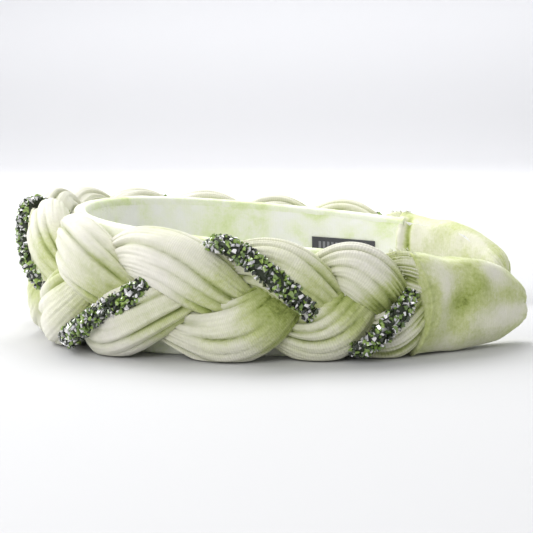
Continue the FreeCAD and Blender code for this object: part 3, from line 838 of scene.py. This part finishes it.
# patches on the sleeves, dye except the second, which paints the shade of the dent near the seam: depth
# (positive is greener), place along, place up, and reach each way
SLEEVE_BLOTCHES = [
    (-0.26, 0.19, 0.30, 0.07, 0.55),
    (0.12, 0.33, 0.05, 0.12, 0.60),
    (-0.28, 0.58, 0.66, 0.14, 0.26),
    (0.08, 0.68, 0.30, 0.18, 0.28),
    (-0.42, 0.66, -0.40, 0.26, 0.34),
    (0.14, 0.08, -0.40, 0.10, 0.40),
    (-0.20, 0.26, -0.80, 0.22, 0.24),
    (0.12, 0.95, 0.25, 0.08, 0.40),
]


def sleeve_gathers(where, along, turn, seed):
    """Waves of the gathers round a sleeve, and how strongly they show near the nose and the seam."""
    wander = noise_field(where, 9.0, seed + 4, 1)
    gathers = np.abs(np.sin(turn[None, :] * 9 + 2.4 * wander)) ** 0.6 - 0.6
    return gathers, smooth(along, 0.78, 1.0)[:, None], smooth(-along, -0.16, 0.0)[:, None]


def sleeve_grid(side, rows, columns, seed):
    """Surface points of one sleeve, with its painted crease shade, its dye and painted shade, and surface
    coordinates.
    """
    along = 1 - (1 - np.linspace(0, 1, rows)) ** 1.25
    reach = SEAM - 1.5 + (NOSE - SEAM + 1.5) * along
    low, high, inner, outer = sleeve_limits(along)
    turn = np.linspace(0, 2 * math.pi, columns, endpoint=False)
    u, v, shape = rounded_section(turn, 2.6)
    close = np.sqrt(np.clip(1 - ((along - 0.93) / 0.07).clip(0, 1) ** 2, 0.0, 1.0))[:, None]
    half_out = (outer - inner)[:, None] / 2
    half_up = (high - low)[:, None] / 2
    mid_out = (outer + inner)[:, None] / 2
    mid_up = (high + low)[:, None] / 2

    # soft dents, a dip near the seam, a ridge past it, and gathers at the nose and the seam
    where = np.stack(np.broadcast_arrays(along[:, None] * 42.0, u * 13.0, v * 15.0), -1)
    gathers, near_nose, near_seam = sleeve_gathers(where, along, turn, seed)
    outside = np.clip(u, 0, 1)
    dent = 0.75 * noise_field(where, 13.0, seed, 2)
    dent = dent - 1.7 * np.exp(-((along[:, None] - 0.30 - 0.10 * v) / 0.10) ** 2) * outside
    dent = dent + 0.8 * np.exp(-((along[:, None] - 0.52 + 0.16 * v) / 0.09) ** 2) * outside
    dent = dent + 0.55 * gathers * near_nose + 0.35 * gathers * near_seam

    # a hem and a crease beside it on the head's side, and a rolled edge at the mouth
    inside = smooth(-u, 0.2, 0.8)
    hem = np.exp(-((along[:, None] - 0.035) / 0.03) ** 2)
    crease = np.exp(-((along[:, None] - 0.105) / 0.025) ** 2)
    roll = 0.3 * np.exp(-((along[:, None] - 0.012) / 0.018) ** 2)
    dent = (dent + (0.9 * hem - 0.6 * crease) * inside + roll) * np.sqrt(close)
    out = mid_out + (half_out * shape * close + dent) * u
    up = mid_up + (half_up * shape * close + dent) * v

    # the mouth's edge curves back between its top and bottom
    mouth = 3.6 * np.clip(1 - v ** 2, 0, 1) * outside * (1 - smooth(along, 0.0, 0.25))[:, None]
    grid = place(-side * (reach[:, None] + mouth), out, np.maximum(up, 0.12))

    # painted shade: greener and darker in the valleys of the gathers near the nose and the seam
    crease_shade = np.clip(-(gathers - 0.1) * (near_nose + 0.6 * near_seam), 0, 1)
    dye_and_shade = 0.57 + 0.15 * noise_field(where, 10.0, seed + 6, 3) + 0.18 * crease_shade
    for depth, at, height, wide, tall in SLEEVE_BLOTCHES:
        spot = ((along[:, None] - at) / wide) ** 2 + ((v - height) / tall) ** 2
        dye_and_shade = dye_and_shade + depth * np.exp(-spot) * (0.35 + 0.65 * (u > 0))
    dye_and_shade = dye_and_shade + 0.10 * smooth(-along, -0.12, 0.0)[:, None]
    # lighter on the head's side, with a painted highlight on the hem and painted shade in the crease beside
    # it
    dye_and_shade = dye_and_shade - (0.2 + 0.3 * hem - 0.5 * crease) * inside
    uv = np.stack(np.broadcast_arrays(along[:, None] * 0.42, turn[None, :] / (2 * math.pi)), -1)
    return grid, {"crease_shade": crease_shade * 0.6, "green": np.clip(dye_and_shade, 0, 1)}, uv


def make_sleeve(half, side, body, material, seed):
    """Padded velvet sleeve over the end of one arm."""
    grid, fields, uv = sleeve_grid(side, 260, 200, seed)
    obj = tube_object(f"{half}_end_sleeve", grid, material, fields, uv)
    face_outward(obj)
    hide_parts(f"{half}_sleeve", f"{half}_sleeve_wadding")
    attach(obj, body)


def make_binding(half, side, body, material):
    """Thread wound round the core and the gathered strand ends, inside the sleeve."""
    turns = 9
    count = turns * 48
    angle = np.linspace(0, 2 * math.pi * turns, count)
    run = -side * (SEAM + 4.3 + 2.6 * np.linspace(0, 1, count))
    shape = 1.0 / (np.abs(np.cos(angle)) ** 3 + np.abs(np.sin(angle)) ** 3) ** (1 / 3)
    out = 5.2 + 6.2 * shape * np.cos(angle)
    height = 14.6 + 12.4 * shape * np.sin(angle)
    middle = place(run, out, height)
    ahead = np.gradient(middle, axis=0)
    ahead /= np.linalg.norm(ahead, axis=1, keepdims=True)
    sideways = np.broadcast_to(band_axes(run)[1], middle.shape)
    rise = np.cross(ahead, sideways)
    rows = []
    for turn in np.linspace(0, 2 * math.pi, 6, endpoint=False):
        rows.append(middle + 0.2 * (sideways * math.cos(turn) + rise * math.sin(turn)))
    obj = tube_object(f"{half}_binding_thread", np.stack(rows, 1), material)
    face_outward(obj)
    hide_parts(f"{half}_binding")
    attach(obj, body)


FRAY_COUNT = 80


def make_fray(half, side, body, material, seed):
    """Cut threads and pile tufts that stand out where the sleeve's mouth closes on the plait."""
    random = np.random.default_rng(seed)
    vertices, faces = [], []
    for _ in range(FRAY_COUNT):
        turn = random.uniform(0.15, 0.62) * math.pi
        start = SEAM - random.uniform(-0.5, 6.0)
        lean = random.normal(0, 0.5, 3)
        length = random.uniform(0.4, 1.1)
        out = 5.6 + 7.4 * math.cos(turn)
        height = 16.5 + 14.0 * math.sin(turn)
        spot = place(np.array([-side * start]), np.array([out]), np.array([height]))[0]
        _, ahead, outward = (axis[0] for axis in band_axes(np.array([-side * start])))
        away = outward * math.cos(turn) + np.array([0, 0, 1.0]) * math.sin(turn)
        way = away * 0.9 - ahead * (-side) * 0.5 + lean
        way /= np.linalg.norm(way)
        across = np.cross(way, ahead)
        across /= np.linalg.norm(across)
        other = np.cross(way, across)
        curl = random.normal(0, 0.35, 3)
        base = len(vertices)
        for step, (share, thick) in enumerate(((0, 0.13), (0.5, 0.11), (1.0, 0.05))):
            middle = spot + way * length * share + curl * length * share ** 2
            for number in range(3):
                bend = 2 * math.pi * number / 3
                vertices.append(middle + thick * (across * math.cos(bend) + other * math.sin(bend)))
        for step in range(2):
            for number in range(3):
                after = (number + 1) % 3
                low = base + 3 * step
                faces.append((low + number, low + after, low + 3 + after, low + 3 + number))
        faces.append((base, base + 2, base + 1))
        faces.append((base + 6, base + 7, base + 8))
    obj = add_object(f"{half}_frayed_threads", vertices, faces, material)
    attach(obj, body)


# ---------------------------------------------------------------- label

LABEL_LENGTH = 24.0
LABEL_TO_SEAM = 10.1


def make_label(material):
    """Label cloth on the lining of the left arm, a little askew."""
    low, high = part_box("woven_label")
    far = LABEL_TO_SEAM - SEAM
    run = np.linspace(far, far + LABEL_LENGTH, 60)
    heights = np.linspace(low.z / MM, high.z / MM, 24)
    tilt = np.linspace(-1.2, 0.4, len(run))
    inner = -2.55
    front = [place(run, np.full_like(run, inner - 0.25), h + tilt) for h in heights]
    back = [place(run, np.full_like(run, inner + 0.25), h + tilt) for h in heights[::-1]]
    grid = np.stack(front + back, 1)
    along = (run[:, None] - far) / LABEL_LENGTH
    uv = np.stack(np.broadcast_arrays(along, np.linspace(0, 2, 48)[None, :]), -1)
    obj = tube_object("woven_label_cloth", grid, material, uv=uv)
    face_outward(obj)
    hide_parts("woven_label")
    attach(obj, LEFT_BODY)


# ---------------------------------------------------------------- stage

def table_material():
    """Pale finish with painted light: a little lighter with distance and height."""
    n = Nodes("pale_table")
    parts = n.add("ShaderNodeSeparateXYZ")
    n.link(n.object_coordinates(), parts.inputs["Vector"])
    away = n.range(parts.outputs["Y"], 0.10, 0.60)
    above = n.range(parts.outputs["Z"], 0.02, 0.14)
    level = n.mix_color(away, (0.575, 0.575, 0.58), (0.695, 0.695, 0.71))
    n.put(n.shader.inputs["Base Color"], n.mix_color(above, level, (0.86, 0.86, 0.88)))
    n.shader.inputs["Roughness"].default_value = 0.6
    n.shader.inputs["Specular IOR Level"].default_value = 0.25
    return n.material


def make_stage():
    """Pale sheet that curves up behind the band."""
    floor = table_material()
    half = 3000.0
    back = 840.0
    curve = 500.0
    line = [(-half, 0.0), (back, 0.0)]
    for turn in np.linspace(0.1, math.pi / 2, 12):
        line.append((back + curve * math.sin(turn), curve * (1 - math.cos(turn))))
    line.append((line[-1][0], half))
    vertices = []
    for y, z in line:
        vertices += [(-half, y, z - 0.02), (half, y, z - 0.02)]
    faces = [(2 * i, 2 * i + 1, 2 * i + 3, 2 * i + 2) for i in range(len(line) - 1)]
    table = add_object("table", vertices, faces, floor)


def make_light(name, at, toward, size, power):
    data = bpy.data.lights.new(name, "AREA")
    data.shape = "SQUARE"
    data.size = size
    data.energy = power
    obj = bpy.data.objects.new(name, data)
    bpy.context.scene.collection.objects.link(obj)
    obj.location = at
    obj.rotation_euler = (Vector(toward) - Vector(at)).to_track_quat("-Z", "Y").to_euler()


def make_lights():
    """Soft even daylight, brightest behind the crown."""
    world = bpy.data.worlds.new("studio")
    bpy.context.scene.world = world
    world.use_nodes = True
    world.node_tree.nodes["Background"].inputs["Color"].default_value = (0.97, 0.98, 1.0, 1.0)
    world.node_tree.nodes["Background"].inputs["Strength"].default_value = 0.62
    make_light("window", (-0.75, 0.25, 0.50), (-0.04, 0.03, 0.02), 0.6, 7.5)
    make_light("overhead", (-0.05, 0.45, 0.8), (0.0, 0.06, 0), 0.6, 7.0)
    make_light("front", (-0.45, -0.9, 0.55), (0, 0, 0.02), 0.5, 3.9)


def make_camera():
    """Long lens, low in front of the right arm."""
    data = bpy.data.cameras.new("camera")
    data.sensor_width = 36.0
    data.lens = 113.8
    obj = bpy.data.objects.new("camera", data)
    bpy.context.scene.collection.objects.link(obj)
    yaw, pitch, roll = -0.081, 0.119, -0.019
    forward = Vector((math.sin(yaw) * math.cos(pitch), math.cos(yaw) * math.cos(pitch), -math.sin(pitch)))
    right = Vector((math.cos(yaw), -math.sin(yaw), 0))
    up = right.cross(forward)
    right_rolled = right * math.cos(roll) + up * math.sin(roll)
    up_rolled = up * math.cos(roll) - right * math.sin(roll)
    turn = Matrix((right_rolled, up_rolled, -forward)).transposed()
    obj.matrix_world = Matrix.Translation(Vector((CROWN_X + 104.9, -550.8, 84.6)) * MM) @ turn.to_4x4()
    data.clip_start = 0.01
    bpy.context.scene.camera = obj


# ---------------------------------------------------------------- the band

strand_velvet = velvet("strand_velvet", 60.0, -0.02, 0.22, 0.08)
lining_velvet = velvet("lining_velvet", 34.0, -0.10, 0.03, 0.01, 90.0, 1.3, LINING_TONES)
sleeve_velvet = velvet("sleeve_velvet", 40.0, 0.02, 0.05, 0.03, 75.0, 0.7)
tape_fabric = plain_material("tape_fabric", (0.03, 0.04, 0.02), 0.8)
dark_crystal = crystal_material("dark_crystal", (0.004, 0.006, 0.003), (0.03, 0.05, 0.015), 0.0, 0.10)
green_crystal = crystal_material("green_crystal", (0.07, 0.13, 0.02), (0.32, 0.46, 0.10), 0.0, 0.10)
# silver chips: near-white colour that is partly their silver and partly a painted glint
silver_glint_crystal = crystal_material("silver_glint_crystal", (0.45, 0.45, 0.46), (0.98, 0.96, 0.97), 0.35, 0.12)
core_plastic = plain_material("core_plastic", (0.85, 0.85, 0.82), 0.5)
thread = plain_material("binding_thread", (0.80, 0.84, 0.66), 0.9)
fray_pile = plain_material("fray_pile", (0.82, 0.84, 0.60), 0.9)
label_satin = label_material()

make_camera()
make_lights()
make_stage()
for strand_name in STRAND_NUMBER:
    make_strand(strand_name, strand_velvet)
make_trim(tape_fabric, [dark_crystal, green_crystal, silver_glint_crystal])
make_cover(lining_velvet)
make_lining(lining_velvet)
make_sleeve("right", -1, RIGHT_BODY, sleeve_velvet, 3.0)
make_sleeve("left", 1, LEFT_BODY, sleeve_velvet, 8.0)
make_label(label_satin)
for half, side, body in (("right", -1, RIGHT_BODY), ("left", 1, LEFT_BODY)):
    make_binding(half, side, body, thread)
    make_fray(half, side, body, fray_pile, 5 + side)
    mesh = frame["nodes"][f"{half}_core"].data
    mesh.materials.clear()
    mesh.materials.append(core_plastic)

bpy.context.scene.view_settings.view_transform = "Standard"
